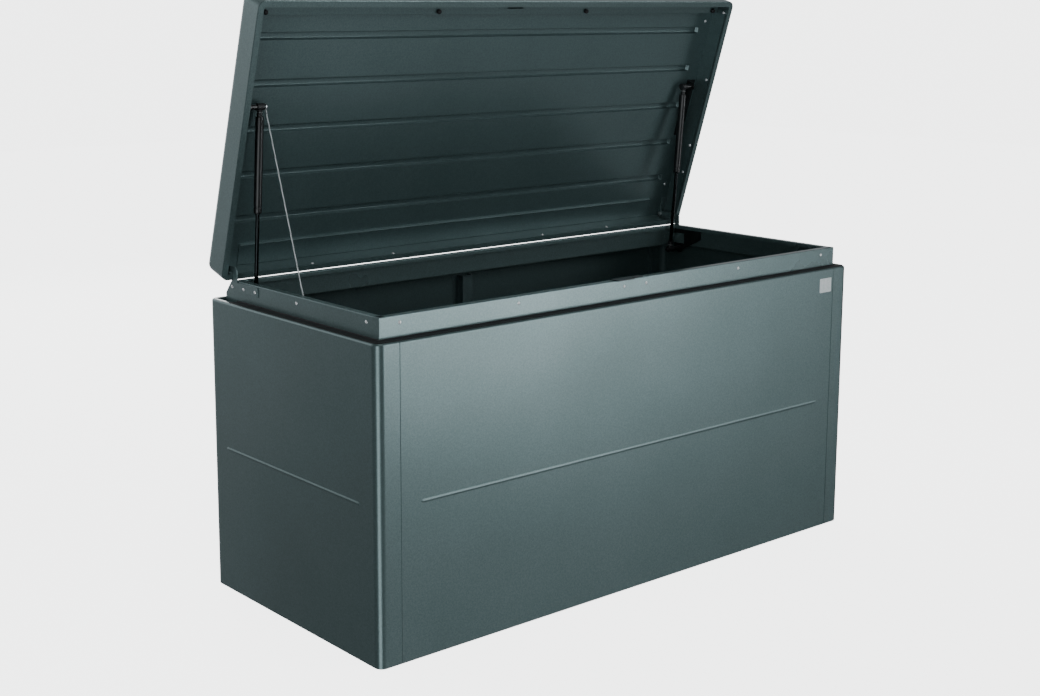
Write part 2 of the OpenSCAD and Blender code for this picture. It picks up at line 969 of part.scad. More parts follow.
left_side_panel();
right_side_panel();
front_panel();
rear_panel();
floor_panel_left();
floor_panel_right();
base_rail_front();
base_rail_rear();
base_cross_rails();
feet();
wall_stiffeners();
seam_bolts();
rim_front();
rim_rear();
rim_left();
rim_right();
rim_corner_brackets();
rim_rivets();
name_plate();
latch_keeper();
hinge_bracket_left();
hinge_bracket_right();
strut_anchor_left();
strut_anchor_right();
stay_cable();
stay_eye_lower();
lid_shell();
lid_liner();
lid_front_rail();
lid_rear_rail();
lid_buffers();
lid_rivets();
lid_hinge_plate_left();
lid_hinge_plate_right();
hinge_pin_left();
hinge_pin_right();
strut_mount_left();
strut_mount_right();
stay_eye_upper();
lock_housing();
lock_plug();
lock_cam();
strut_rod_left();
strut_rod_right();
strut_socket_lower_left();
strut_socket_lower_right();
strut_cylinder_left();
strut_cylinder_right();
strut_socket_upper_left();
strut_socket_upper_right();
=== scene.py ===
"""Garden storage box in powder-coated sheet steel, with its lid propped open on two gas struts."""

import math

import bmesh
import bpy
from mathutils import Matrix, Vector


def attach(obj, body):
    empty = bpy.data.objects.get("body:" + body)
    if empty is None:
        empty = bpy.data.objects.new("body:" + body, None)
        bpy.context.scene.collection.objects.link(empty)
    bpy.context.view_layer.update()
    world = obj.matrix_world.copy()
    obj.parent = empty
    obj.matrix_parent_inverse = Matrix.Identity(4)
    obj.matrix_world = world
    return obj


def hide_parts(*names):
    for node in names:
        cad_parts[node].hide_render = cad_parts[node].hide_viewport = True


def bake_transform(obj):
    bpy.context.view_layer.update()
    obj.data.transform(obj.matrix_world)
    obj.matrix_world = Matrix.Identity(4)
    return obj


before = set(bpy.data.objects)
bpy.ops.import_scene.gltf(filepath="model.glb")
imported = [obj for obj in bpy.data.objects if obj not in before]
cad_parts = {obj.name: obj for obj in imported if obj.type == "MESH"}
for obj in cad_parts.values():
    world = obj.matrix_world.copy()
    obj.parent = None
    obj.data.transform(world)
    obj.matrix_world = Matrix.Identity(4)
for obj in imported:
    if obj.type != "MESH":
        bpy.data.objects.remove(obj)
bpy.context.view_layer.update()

# ---------------------------------------------------------------------------
# Camera, floor and lights
# A pale screed floor in a dim room with soft boxes hung round it, and three
# broad lamps: overhead, at the left wall and at the rear.
# ---------------------------------------------------------------------------

MM = 0.001


def linear(hexa):
    """An sRGB colour such as "#6b7e7e" as linear RGBA."""
    channels = [int(hexa[i:i + 2], 16) / 255 for i in (1, 3, 5)]
    return [c / 12.92 if c <= 0.04045 else ((c + 0.055) / 1.055) ** 2.4 for c in channels] + [1.0]


def add(material, kind, settings=None, **inputs):
    """Adds a node to a material or the world. Settings are its own, and "stops" fills a
    colour ramp; inputs are values, or the sockets of other nodes to link."""
    made = material.node_tree.nodes.new("ShaderNode" + kind)
    for key, value in (settings or {}).items():
        if key == "stops":
            while len(made.color_ramp.elements) < len(value):
                made.color_ramp.elements.new(1.0)
            for stop, (position, colour) in zip(made.color_ramp.elements, value):
                stop.position, stop.color = position, colour
        else:
            setattr(made, key, value)
    for key, value in inputs.items():
        # a name with a number, such as Vector_1, is the socket at that place; others go by name
        number = key.rsplit("_", 1)[-1]
        socket = made.inputs[int(number) if number.isdigit() else key.replace("_", " ")]
        if isinstance(value, bpy.types.NodeSocket):
            material.node_tree.links.new(value, socket)
        else:
            socket.default_value = value
    return made


def blank_material(name):
    material = bpy.data.materials.new(name)
    material.use_nodes = True
    material.node_tree.nodes.clear()
    return material


def finish_material(material, shader):
    add(material, "OutputMaterial", Surface=shader.outputs[0])
    return material


camera_data = bpy.data.cameras.new("camera")
camera = bpy.data.objects.new("camera", camera_data)
bpy.context.scene.collection.objects.link(camera)
camera_heading, camera_pitch = 0.6900, 0.1690
camera.location = (-2.6678, -2.9487, 1.4400)
camera.rotation_euler = (math.pi / 2 - camera_pitch, 0, -camera_heading)
sensor_width, frame_width, focal_length = 36, 1040, 1548.0
camera_data.sensor_width = sensor_width
camera_data.lens = focal_length / frame_width * sensor_width
camera_data.shift_x, camera_data.shift_y = 0.0408, -0.075
bpy.context.scene.camera = camera

bpy.ops.mesh.primitive_plane_add(size=24)
floor = bpy.context.object
floor.name = "floor"
# power-floated screed: matt and near white, with faint clouds about 400 mm across
screed = blank_material("pale_screed")
floor_grain = add(screed, "TexNoise", Scale=1 / (400 * MM), Detail=5.0)
floor_tone = add(screed, "ValToRGB", {"stops": [(0.35, linear("#e6e6e4")), (0.65, linear("#ececea"))]},
                 Fac=floor_grain.outputs["Fac"]).outputs["Color"]
finish_material(screed, add(screed, "BsdfPrincipled", Base_Color=floor_tone, Roughness=0.8,
                            Emission_Color=linear("#f4f5f5"), Emission_Strength=4.3))
floor.data.materials.append(screed)
# the floor lights nothing: the box stands as over a dark table, and the pale floor only takes its shadow
floor.visible_diffuse = floor.visible_glossy = False

# the room: an even dim glow plus soft boxes, and a pale backdrop that only the camera sees
room = bpy.data.worlds.new("room")
bpy.context.scene.world = room
room.use_nodes = True
room.node_tree.nodes.clear()
bearing = add(room, "TexCoord").outputs["Generated"]
glow = add(room, "Value").outputs[0]
glow.default_value = 0.12
# heading is in degrees from straight ahead of the box towards its right, rise is in degrees
# from level, flatten under 1 stretches a box upright, and its light fades out from the inner
# to the outer half-angle
for heading, rise, flatten, inner, outer, power in (
        (38.5, -6, 1.0, 2, 8.5, 15.5),  # small bright box to the front right, just below level
        (28, -36, 1.0, 8, 30, 0.46),    # wide dim card under it
        (-50, -16, 0.5, 10, 24, 3.0),   # tall strip to the front left
        (-150, 16, 1.0, 6, 27, 0.75),   # card at the rear left
        (38, 17, 1.0, 6, 19, 3.6),      # box above the first, which lights the beads
        (180, 12, 1.0, 8, 50, 0.9),     # wide card straight behind
        (110, 5, 1.0, 8, 45, 0.35)):    # wide card at the right
    turn, lift = math.radians(heading), math.radians(rise)
    aim = (math.sin(turn) * math.cos(lift), -math.cos(turn) * math.cos(lift), math.sin(lift) * flatten)
    squashed = add(room, "VectorMath", {"operation": "MULTIPLY"}, Vector_0=bearing, Vector_1=(1, 1, flatten))
    ray = add(room, "VectorMath", {"operation": "NORMALIZE"}, Vector_0=squashed.outputs[0])
    facing = add(room, "VectorMath", {"operation": "DOT_PRODUCT"}, Vector_0=ray.outputs[0],
                 Vector_1=Vector(aim).normalized())
    box = add(room, "MapRange", {"interpolation_type": "SMOOTHSTEP"}, Value=facing.outputs["Value"],
              From_Min=math.cos(math.radians(outer)), From_Max=math.cos(math.radians(inner)), To_Max=power)
    glow = add(room, "Math", {"operation": "ADD"}, Value_0=glow, Value_1=box.outputs["Result"]).outputs[0]
lit = add(room, "Background", Color=linear("#f6fbff"), Strength=glow)
backdrop = add(room, "Background", Color=linear("#f4f5f5"), Strength=4.5)
seen = add(room, "MixShader", Fac=add(room, "LightPath").outputs["Is Camera Ray"],
           Shader_1=lit.outputs[0], Shader_2=backdrop.outputs[0])
add(room, "OutputWorld", Surface=seen.outputs[0])


def soft_light(name, position, aim, width, height, watts):
    """Hangs a rectangular lamp that faces its aim point."""
    data = bpy.data.lights.new(name, "AREA")
    data.shape, data.size, data.size_y, data.energy = "RECTANGLE", width, height, watts
    lamp = bpy.data.objects.new(name, data)
    lamp.location = position
    lamp.rotation_euler = (Vector(aim) - Vector(position)).to_track_quat("-Z", "Y").to_euler()
    bpy.context.scene.collection.objects.link(lamp)


soft_light("ceiling", (-0.4, -1.6, 4.6), (0, 0.1, 0.9), 2.4, 1.6, 30)
soft_light("left_wall", (-4.2, 0.9, 1.9), (-0.8, 0, 0.6), 2.2, 1.6, 5)
soft_light("rear_wall", (1.2, 4.4, 2.2), (0, 0.3, 0.7), 2.6, 1.8, 40)

# ---------------------------------------------------------------------------
# Side panels
# Each is one sheet that wraps both upright corners in a soft 20 mm bend, with
# its top edge folded inwards over a small radius and a bead pressed along it.
# Galvanised steel under a fine metallic powder coat in a green grey.
# ---------------------------------------------------------------------------

HALF_W, HALF_D, WALL_H = 0.8, 0.35, 0.734
CORNER_R = 0.020


def powder_coat(name, body, flake, low=0.26, high=0.33):
    """Metallic polyester powder, cured on sheet steel: a satin film with fine
    aluminium flake, faint orange peel and the slow waves that thin sheet has."""
    paint = blank_material(name)
    place = add(paint, "TexCoord").outputs["Object"]
    # flake is about 0.2 mm across on the real film; drawn at 2.5 mm so that it shows
    flakes = add(paint, "TexVoronoi", Vector=place, Scale=1 / (2.5 * MM))
    cloud = add(paint, "TexNoise", Vector=place, Scale=1 / (300 * MM), Detail=4.0)
    # orange peel with a 2.5 mm pitch
    peel = add(paint, "TexNoise", Vector=place, Scale=1 / (2.5 * MM), Detail=2.0)
    # thin sheet is never quite flat: swells about 400 mm across
    swell = add(paint, "TexNoise", Vector=place, Scale=1 / (400 * MM), Detail=0.0)
    flake_tone = add(paint, "ValToRGB", {"stops": [(0.1, linear(body)), (1.0, linear(flake))]},
                     Fac=flakes.outputs["Color"]).outputs["Color"]
    dust = add(paint, "ValToRGB", {"stops": [(0.3, linear("#ffffff")), (0.8, linear("#e6ebea"))]},
               Fac=cloud.outputs["Fac"]).outputs["Color"]
    tone = add(paint, "Mix", {"data_type": "RGBA", "blend_type": "MULTIPLY"},
               Factor_0=1.0, A_6=flake_tone, B_7=dust)
    satin = add(paint, "MapRange", Value=cloud.outputs["Fac"], To_Min=low, To_Max=high)
    waves = add(paint, "Bump", Height=swell.outputs["Fac"], Strength=0.25, Distance=2.0 * MM)
    skin = add(paint, "Bump", Height=peel.outputs["Fac"], Strength=0.08, Distance=0.10 * MM,
               Normal=waves.outputs["Normal"])
    shader = add(paint, "BsdfPrincipled", Base_Color=tone.outputs[2], Metallic=0.45,
                 Roughness=satin.outputs["Result"], Normal=skin.outputs["Normal"],
                 Coat_Weight=0.2, Coat_Roughness=0.22)
    return finish_material(paint, shader)


wall_paint = powder_coat("grey_metallic_powder_coat", "#5a6e6e", "#687c7c")


def new_piece(name, mesh, material, body, *stands_for, smooth=30):
    """Wraps a bmesh as a piece that rides on a body and stands for CAD nodes."""
    bmesh.ops.recalc_face_normals(mesh, faces=mesh.faces)
    data = bpy.data.meshes.new(name)
    mesh.to_mesh(data)
    mesh.free()
    piece = bpy.data.objects.new(name, data)
    bpy.context.scene.collection.objects.link(piece)
    data.materials.append(material)
    for face in data.polygons:
        face.use_smooth = True
    data.set_sharp_from_angle(angle=math.radians(smooth))
    # large flat faces keep their own direction, and only the bends between them turn
    flats = piece.modifiers.new("flat_faces", "WEIGHTED_NORMAL")
    flats.keep_sharp, flats.weight = True, 100
    if body:
        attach(piece, body)
    if stands_for:
        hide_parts(*stands_for)
    return piece


def rounded(points, radii):
    """Rounds the corners of a 2-D polyline or loop, with one radius for each point."""
    out, n, steps = [], len(points), 6
    for i, (p, r) in enumerate(zip(points, radii)):
        p, a, b = Vector(p), Vector(points[i - 1]), Vector(points[(i + 1) % n])
        if r <= 0:
            out.append(p)
            continue
        into, away = (a - p).normalized(), (b - p).normalized()
        half = into.angle(away) / 2
        reach = min(r / math.tan(half), (a - p).length * 0.49, (b - p).length * 0.49)
        r = reach * math.tan(half)
        centre = p + (into + away).normalized() * (r / math.sin(half))
        start, end = p + into * reach - centre, p + away * reach - centre
        turn = start.angle_signed(end)
        for k in range(steps + 1):
            out.append(centre + Matrix.Rotation(-turn * k / steps, 2) @ start)
    return out


def sheet_profile(points, folds, thickness):
    """Outer and inner lines of a folded sheet from its outer line: points are (inset, height)."""
    outer = rounded(points, folds)
    outer = [outer[i] for i in range(len(outer)) if i == 0 or (outer[i] - outer[i - 1]).length > 1e-6]
    inner = []
    for i, p in enumerate(outer):
        a, b = outer[max(i - 1, 0)], outer[min(i + 1, len(outer) - 1)]
        run = (b - a).normalized()
        inner.append(p + Vector((run.y, -run.x)) * thickness)
    return outer, inner


CORNER_STEPS = 10


def corner_run(sign_x, sign_y, inset):
    """Plan points round one upright corner at an inset, from the X face to the Y face."""
    r = max(CORNER_R - inset, 0.0004)
    inset_x, inset_y = HALF_W - inset - r, HALF_D - inset - r
    return [(sign_x * (inset_x + r * math.cos(a)), sign_y * (inset_y + r * math.sin(a)))
            for a in (math.pi / 2 * k / CORNER_STEPS for k in range(CORNER_STEPS + 1))]


def loft(mesh, rings):
    """Joins closed loops of equal point count along a run, and closes both ends."""
    made = [[mesh.verts.new(p) for p in ring] for ring in rings]
    for a, b in zip(made, made[1:]):
        for i in range(len(a)):
            j = (i + 1) % len(a)
            mesh.faces.new((a[i], a[j], b[j], b[i]))
    mesh.faces.new(made[0])
    mesh.faces.new(list(reversed(made[-1])))


def pressed_bead(mesh, centre, along, out, length):
    """Half-round raised line with run-out ends and flared feet, as left by a press tool."""
    centre, along, out = Vector(centre), Vector(along), Vector(out)
    across = along.cross(out)
    width, height = 0.010, 0.0013
    # the ends run out over 6 mm, and the feet sink 0.3 mm into the sheet so that no gap shows
    run_out, sunk = width * 0.6, 0.3 * MM
    stations = [-length / 2 + run_out * (1 - math.cos(math.pi / 2 * k / 6)) for k in range(7)]
    stations += [-x for x in reversed(stations)]
    rows = []
    for s in stations:
        from_end = length / 2 - abs(s)
        swell = math.sqrt(max(0.0, 1 - (1 - min(from_end / run_out, 1)) ** 2))
        row = []
        for j in range(13):
            v = j / 12 * 2 - 1
            lift = height * swell * (0.5 + 0.5 * math.cos(math.pi * v)) - (sunk if abs(v) > 0.95 else 0)
            sideways = across * (v * width / 2 * max(swell, 0.15))
            row.append(mesh.verts.new(centre + along * s + sideways + out * lift))
        rows.append(row)
    for a, b in zip(rows, rows[1:]):
        for j in range(12):
            mesh.faces.new((a[j], a[j + 1], b[j + 1], b[j]))


# outer line of a wall sheet: foot flange, wall, folded top ledge and its down-turned lip
WALL_LINE = [(0.020, 0.003), (0, 0.003), (0, WALL_H), (0.0132, WALL_H), (0.0132, WALL_H - 0.008)]
WALL_FOLDS = [0, 0.002, 0.0055, 0.002, 0]
SHEET = 1.2 * MM
SEAM_X = 0.739
BEAD_SIDE, BEAD_LONG = 0.562, 1.366
# behind a seam each sheet turns in by 15 mm, between its foot flange and its top fold
SEAM_LIP, LIP_HEIGHTS = 0.015, (0.023, WALL_H - 0.012)


def wall_section(place):
    """Closed section of the wall sheet; place turns (inset, height) into a point."""
    outer, inner = sheet_profile(WALL_LINE, WALL_FOLDS, SHEET)
    return [place(p.x, p.y) for p in outer] + [place(p.x, p.y) for p in reversed(inner)]


def side_panel(sign, node):
    mesh = bmesh.new()

    def ring(kind, k):
        def place(inset, z):
            if kind in ("front", "rear"):
                sy = -1 if kind == "front" else 1
                run = corner_run(sign, sy, inset)
                return (run[k][0], run[k][1], z)
            sy = -1 if kind == "seam_front" else 1
            return (sign * SEAM_X, sy * (HALF_D - inset), z)
        return wall_section(place)

    rings = [ring("seam_front", 0)]
    rings += [ring("front", k) for k in range(CORNER_STEPS, -1, -1)]
    rings += [ring("rear", k) for k in range(CORNER_STEPS + 1)]
    rings += [ring("seam_rear", 0)]
    loft(mesh, rings)
    pressed_bead(mesh, (sign * HALF_W, 0, WALL_H / 2), (0, 1, 0), (sign, 0, 0), BEAD_SIDE)
    # the sheet's edges turn in behind the seams
    for sy in (-1, 1):
        line = [(SEAM_X, HALF_D - 0.0008), (SEAM_X, HALF_D - SEAM_LIP),
                (SEAM_X + SHEET, HALF_D - SEAM_LIP), (SEAM_X + SHEET, HALF_D - 0.0008)]
        loft(mesh, [[(sign * x, sy * y, z) for x, y in line] for z in LIP_HEIGHTS])
    return new_piece(node + "_sheet", mesh, wall_paint, "box", node)


for sign, node in ((-1, "left_side_panel"), (1, "right_side_panel")):
    side_panel(sign, node)

# ---------------------------------------------------------------------------
# Front and rear panels
# Long flat sheets between the side panels, folded like them at the top and
# foot, with one pressed bead at half height and a hairline seam at each end.
# ---------------------------------------------------------------------------

SEAM_GAP = 1.0 * MM


def long_panel(sign, node):
    mesh = bmesh.new()
    end = SEAM_X - SEAM_GAP
    # the ends roll back over 0.8 mm into the seam, so the seam shows as a soft line
    stations = [(-end, 0.0008), (-end + 0.0004, 0.0002), (-end + 0.001, 0)]
    stations += [(-x, push) for x, push in reversed(stations)]
    rings = [wall_section(lambda inset, z, x=x, push=push: (x, sign * (HALF_D - inset - push), z))
             for x, push in stations]
    loft(mesh, rings)
    pressed_bead(mesh, (0, sign * HALF_D, WALL_H / 2), (1, 0, 0), (0, sign, 0), BEAD_LONG)
    for sx in (-1, 1):
        line = [(end, HALF_D - SHEET), (end, HALF_D - SEAM_LIP), (end - SHEET, HALF_D - SEAM_LIP),
                (end - SHEET, HALF_D - SHEET)]
        loft(mesh, [[(sx * x, sign * y, z) for x, y in line] for z in LIP_HEIGHTS])
    return new_piece(node + "_sheet", mesh, wall_paint, "box", node)


for sign, node in ((-1, "front_panel"), (1, "rear_panel")):
    long_panel(sign, node)

# ---------------------------------------------------------------------------
# Rim
# Four Z-shaped rails, folded from the same coated sheet and riveted at the
# corners. The lid closes over them; their inner top flanges turn down a lip.
# ---------------------------------------------------------------------------

RIM_TOP, RIM_FOOT, RIM_T = 0.785, 0.7242, 1.5 * MM
rim_paint = powder_coat("rim_powder_coat", "#5d7171", "#6b7f7f", 0.25, 0.32)


def rail(start, end, out, foot_reach):
    """Z section swept from start to end (points on the web's outer face line)."""
    mesh = bmesh.new()
    flange, lip = 0.018, 0.010
    line = [(-foot_reach, RIM_FOOT + RIM_T), (0, RIM_FOOT + RIM_T), (0, RIM_TOP), (flange, RIM_TOP),
            (flange, RIM_TOP - lip)]
    outer, inner = sheet_profile(line, [0, 0.0015, 0.0022, 0.0015, 0], RIM_T)
    out = Vector(out)
    rings = []
    for q in (start, end):
        q = Vector(q)
        ring = [q - out * p.x + Vector((0, 0, p.y)) for p in outer]
        ring += [q - out * p.x + Vector((0, 0, p.y)) for p in reversed(inner)]
        rings.append(ring)
    loft(mesh, rings)
    return mesh


RIM_X, RIM_FRONT, RIM_REAR = 0.772, -0.322, 0.274
FOOT_REACH, REAR_FOOT_REACH = 0.0262, 0.0742
front_rail = rail((-RIM_X, RIM_FRONT, 0), (RIM_X, RIM_FRONT, 0), (0, -1, 0), FOOT_REACH)
new_piece("rim_front_rail", front_rail, rim_paint, "box", "rim_front")
inner_x = RIM_X - 0.0018
rear_rail = rail((-inner_x, RIM_REAR, 0), (inner_x, RIM_REAR, 0), (0, 1, 0), REAR_FOOT_REACH)
new_piece("rim_rear_rail", rear_rail, rim_paint, "box", "rim_rear")


def side_rail(sign, node):
    """The side rails run on behind the rear rail and end in a slant."""
    mesh = rail((sign * RIM_X, RIM_FRONT + 0.0019, 0), (sign * RIM_X, RIM_REAR - 0.0183, 0),
                (sign, 0, 0), FOOT_REACH)
    tail_start, tail_end = RIM_REAR - 0.0185, 0.3145
    tail = [(tail_start, RIM_FOOT), (tail_end, RIM_FOOT), (tail_end, 0.7500), (0.2850, RIM_TOP),
            (tail_start, RIM_TOP)]
    tail = rounded(tail, [0, 0.001, 0.006, 0.006, 0])
    loft(mesh, [[(sign * x, p.x, p.y) for p in tail] for x in (RIM_X, RIM_X - RIM_T)])
    foot = [(tail_start, RIM_X), (0.330, RIM_X), (0.330, 0.7985), (tail_start, 0.7985)]
    loft(mesh, [[(sign * x, y, z) for y, x in foot] for z in (RIM_FOOT, RIM_FOOT + RIM_T)])
    return new_piece(node + "_rail", mesh, rim_paint, "box", node)


for sign, node in ((-1, "rim_left"), (1, "rim_right")):
    side_rail(sign, node)

# ---------------------------------------------------------------------------
# Gutter shade strip
# A black rubber strip laid in the gutter between the rim and the wall's top
# fold: painted shade, a dark piece where the gap between them lies in shadow.
# It runs round the front and both sides, cut square at its two ends.
# ---------------------------------------------------------------------------


def moulded(name, dark, light, roughness, grain):
    """Moulded black polymer: soft sheen with a spark-eroded grain; grain is its pitch in metres."""
    polymer = blank_material(name)
    place = add(polymer, "TexCoord").outputs["Object"]
    pits = add(polymer, "TexNoise", Vector=place, Scale=1 / grain, Detail=3.0)
    tone = add(polymer, "ValToRGB", {"stops": [(0.35, linear(dark)), (0.65, linear(light))]},
               Fac=pits.outputs["Fac"]).outputs["Color"]
    skin = add(polymer, "Bump", Height=pits.outputs["Fac"], Strength=0.2, Distance=0.1 * MM)
    rough = add(polymer, "MapRange", Value=pits.outputs["Fac"],
                To_Min=roughness - 0.06, To_Max=roughness + 0.08)
    return finish_material(polymer, add(polymer, "BsdfPrincipled", Base_Color=tone, IOR=1.49,
                                        Roughness=rough.outputs["Result"], Normal=skin.outputs["Normal"]))


rubber = moulded("nitrile_rubber", "#0f1011", "#191b1c", 0.62, 0.8 * MM)
# painted shade: the black strip below darkens the gutter where the gap between rim and wall lies in shadow
SHADE_STRIP_END = 0.262
# (inset, height) round the section, from the outer edge over the soft crown to the rim's web
SHADE_STRIP_SECTION = [(0.0042, 0.7342), (0.0046, 0.7350), (0.0056, 0.7355), (0.0140, 0.7355), (0.0160, 0.7345),
        (0.0250, 0.7345), (0.0262, 0.7352), (0.0276, 0.7368), (0.0278, 0.7362), (0.0278, 0.7262),
        (0.0140, 0.7262), (0.0137, 0.7342)]
shade_strip = bmesh.new()
shade_strip_rings = [[(-(HALF_W - inset), SHADE_STRIP_END, z) for inset, z in SHADE_STRIP_SECTION]]
for sx in (-1, 1):
    runs = [corner_run(sx, -1, inset) for inset, z in SHADE_STRIP_SECTION]
    turn = [[(*run[k], z) for run, (_, z) in zip(runs, SHADE_STRIP_SECTION)]
            for k in range(CORNER_STEPS + 1)]
    shade_strip_rings += turn if sx < 0 else turn[::-1]
shade_strip_rings.append([(HALF_W - inset, SHADE_STRIP_END, z) for inset, z in SHADE_STRIP_SECTION])
loft(shade_strip, shade_strip_rings)
new_piece("gutter_strip_painted_shade", shade_strip, rubber, "box")

# ---------------------------------------------------------------------------
# Lid cover
# One deep-folded sheet: flat roof, soft 20 mm edges, welded and ground
# corners, 80 mm skirts and an inward hem all round the lower edge.
# ---------------------------------------------------------------------------

LID_ANGLE = math.radians(73)
HINGE = Vector((0, 0.338, 0.810))
OPEN_LID = Matrix.Translation(HINGE) @ Matrix.Rotation(-LID_ANGLE, 4, "X") @ Matrix.Translation(-HINGE)
LID_LOW, LID_TOP = 0.755, 0.835
lid_paint = powder_coat("lid_powder_coat", "#596d6d", "#677b7b")


def plan_loop(inset, z):
    """Round-cornered loop of the lid's plan at an inset and height."""
    loop = []
    for sx, sy, order in ((-1, -1, 1), (1, -1, -1), (1, 1, 1), (-1, 1, -1)):
        run = corner_run(sx, sy, inset)
        loop += [(x, y, z) for x, y in run[::order]]
    return loop


lid = bmesh.new()
# the fold between skirt and roof: how far it reaches in and down, outside and inside the sheet
FOLD_IN, FOLD_DOWN, INNER_IN, INNER_DOWN = 0.0195, 0.0215, 0.0183, 0.0203
HEM = 0.0160
quarter = [math.pi / 2 * k / 9 for k in range(10)]
fold = [(FOLD_IN * (1 - math.cos(a)), LID_TOP - FOLD_DOWN + FOLD_DOWN * math.sin(a)) for a in quarter]
outside = [(HEM, LID_LOW), (0.0022, LID_LOW), (0.0006, LID_LOW + 0.0006), (0, LID_LOW + 0.0022)] + fold
inside = [(FOLD_IN - INNER_IN * math.cos(a), LID_TOP - FOLD_DOWN + INNER_DOWN * math.sin(a))
          for a in reversed(quarter)]
inside += [(SHEET, LID_LOW + 0.0024), (0.0024, LID_LOW + SHEET), (HEM, LID_LOW + SHEET)]
loops = [[lid.verts.new(p) for p in plan_loop(*station)] for station in outside + inside]
count = len(loops[0])
roof_at = len(outside) - 1
for i in range(len(loops)):
    if i == roof_at:
        continue
    a, b = loops[i], loops[(i + 1) % len(loops)]
    for j in range(count):
        lid.faces.new((a[j], a[(j + 1) % count], b[(j + 1) % count], b[j]))
lid.faces.new(loops[roof_at])
lid.faces.new(list(reversed(loops[roof_at + 1])))
lid.transform(OPEN_LID)
lid_cover = new_piece("lid_cover", lid, lid_paint, "lid", "lid_shell")

# ---------------------------------------------------------------------------
# Lid liner
# Flat inner sheet with five long pressed grooves that stiffen the lid, and
# flanges turned down inside the side and rear skirts. Same powder coat, drawn
# darker than the lid's as painted shade for the inside of the lid.
# ---------------------------------------------------------------------------

# painted shade: this is a darker copy of the lid's coat, standing in for the shade inside the lid
liner_shaded_paint = powder_coat("liner_powder_coat_painted_shade", "#536768", "#5f7474", 0.30, 0.38)
LINER_Z, LINER_X, LINER_FRONT, LINER_REAR = 0.821, 0.7966, -0.3042, 0.3466
LINER_T, FLANGE_FOOT = 1.0 * MM, 0.773
GROOVES = [-0.2445 + 0.116 * i for i in range(5)]
GROOVE_END = 0.752


def groove_depth(x, y):
    """How far the liner is pressed towards the lid's roof at a point, in metres."""
    depth = 0.0
    for centre in GROOVES:
        v = abs(y - centre)
        wall = min(max((0.0100 - v) / 0.0035, 0), 1)
        depth = max(depth, 0.0085 * wall * wall * (3 - 2 * wall))
    end = min(max((GROOVE_END - abs(x)) / 0.008, 0), 1)
    return depth * end * end * (3 - 2 * end)


liner_ys = {LINER_FRONT, LINER_REAR}
for centre in GROOVES:
    liner_ys |= {centre + s * v for s in (-1, 1)
                 for v in (0.0100, 0.0093, 0.0086, 0.0079, 0.0072, 0.0065, 0.0)}
liner_ys = sorted(liner_ys)
end_steps = [GROOVE_END - 0.008 * k / 5 for k in range(6)]
liner_xs = sorted({s * x for s in (-1, 1) for x in (LINER_X, 0.7798, *end_steps)} | {0.0})
liner = bmesh.new()
grid = [[liner.verts.new((x, y, LINER_Z + groove_depth(x, y))) for y in liner_ys] for x in liner_xs]
for a, b in zip(grid, grid[1:]):
    for j in range(len(a) - 1):
        liner.faces.new((a[j], b[j], b[j + 1], a[j + 1]))
# flanges inside the side and rear skirts
for sx in (-1, 1):
    line = [(LINER_X, LINER_Z), (LINER_X, FLANGE_FOOT), (LINER_X - LINER_T, FLANGE_FOOT),
            (LINER_X - LINER_T, LINER_Z)]
    loft(liner, [[(sx * x, y, z) for x, z in line] for y in (LINER_FRONT, 0.330)])
line = [(LINER_REAR, LINER_Z), (LINER_REAR, FLANGE_FOOT), (LINER_REAR - LINER_T, FLANGE_FOOT),
        (LINER_REAR - LINER_T, LINER_Z)]
loft(liner, [[(x, y, z) for y, z in line] for x in (-0.760, 0.760)])
# the plan corners of the sheet follow the lid's round corners
for v in liner.verts:
    if v.co.y > 0.340 and abs(v.co.x) > 0.790:
        v.co.x = math.copysign(0.7905, v.co.x)
        v.co.y = 0.3405
liner.transform(OPEN_LID)
lid_liner = new_piece("lid_liner_sheet", liner, liner_shaded_paint, "lid", "lid_liner", smooth=50)

# ---------------------------------------------------------------------------
# Lid rails
# Folded channels behind the front skirt and along the rear edge of the liner.
# The front one carries the buffers and is notched round the lock's cam.
# ---------------------------------------------------------------------------


def eased(node, width, material, body, steps=2):
    """The CAD shape with its cut and folded edges broken, as deburred and coated metal has."""
    mesh = bmesh.new()
    mesh.from_mesh(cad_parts[node].data)
    bmesh.ops.remove_doubles(mesh, verts=mesh.verts, dist=2e-6)
    bmesh.ops.dissolve_limit(mesh, angle_limit=math.radians(1), verts=mesh.verts, edges=mesh.edges)
    piece = new_piece(node + "_eased", mesh, material, body, node)
    piece.modifiers.remove(piece.modifiers["flat_faces"])
    edge = piece.modifiers.new("broken_edges", "BEVEL")
    edge.width, edge.segments = width, steps
    edge.limit_method, edge.angle_limit = "ANGLE", math.radians(40)
    edge.harden_normals = True
    return piece


eased("lid_front_rail", 0.6 * MM, liner_shaded_paint, "lid")
eased("lid_rear_rail", 0.6 * MM, liner_shaded_paint, "lid")

# ---------------------------------------------------------------------------
# Base frame and floor
# Ribbed floor sheets on folded channels, with moulded feet pushed into the
# channels, and hat sections that stiffen the middle of the long walls.
# ---------------------------------------------------------------------------

floor_paint = powder_coat("floor_powder_coat", "#4c5f60", "#586c6c", 0.42, 0.55)
for node in ("floor_panel_left", "floor_panel_right", "base_rail_front", "base_rail_rear",
             "base_cross_rails", "wall_stiffeners"):
    eased(node, 0.5 * MM, floor_paint, "box", 1)

black_nylon = moulded("glass_filled_nylon", "#141617", "#1f2223", 0.48, 1.2 * MM)
eased("feet", 0.8 * MM, black_nylon, "box")

# ---------------------------------------------------------------------------
# Buffers
# Four black rubber stops pressed into the lid's front rail, with a domed face
# and a shallow ring where the mould parts. They land on the rim.
# ---------------------------------------------------------------------------


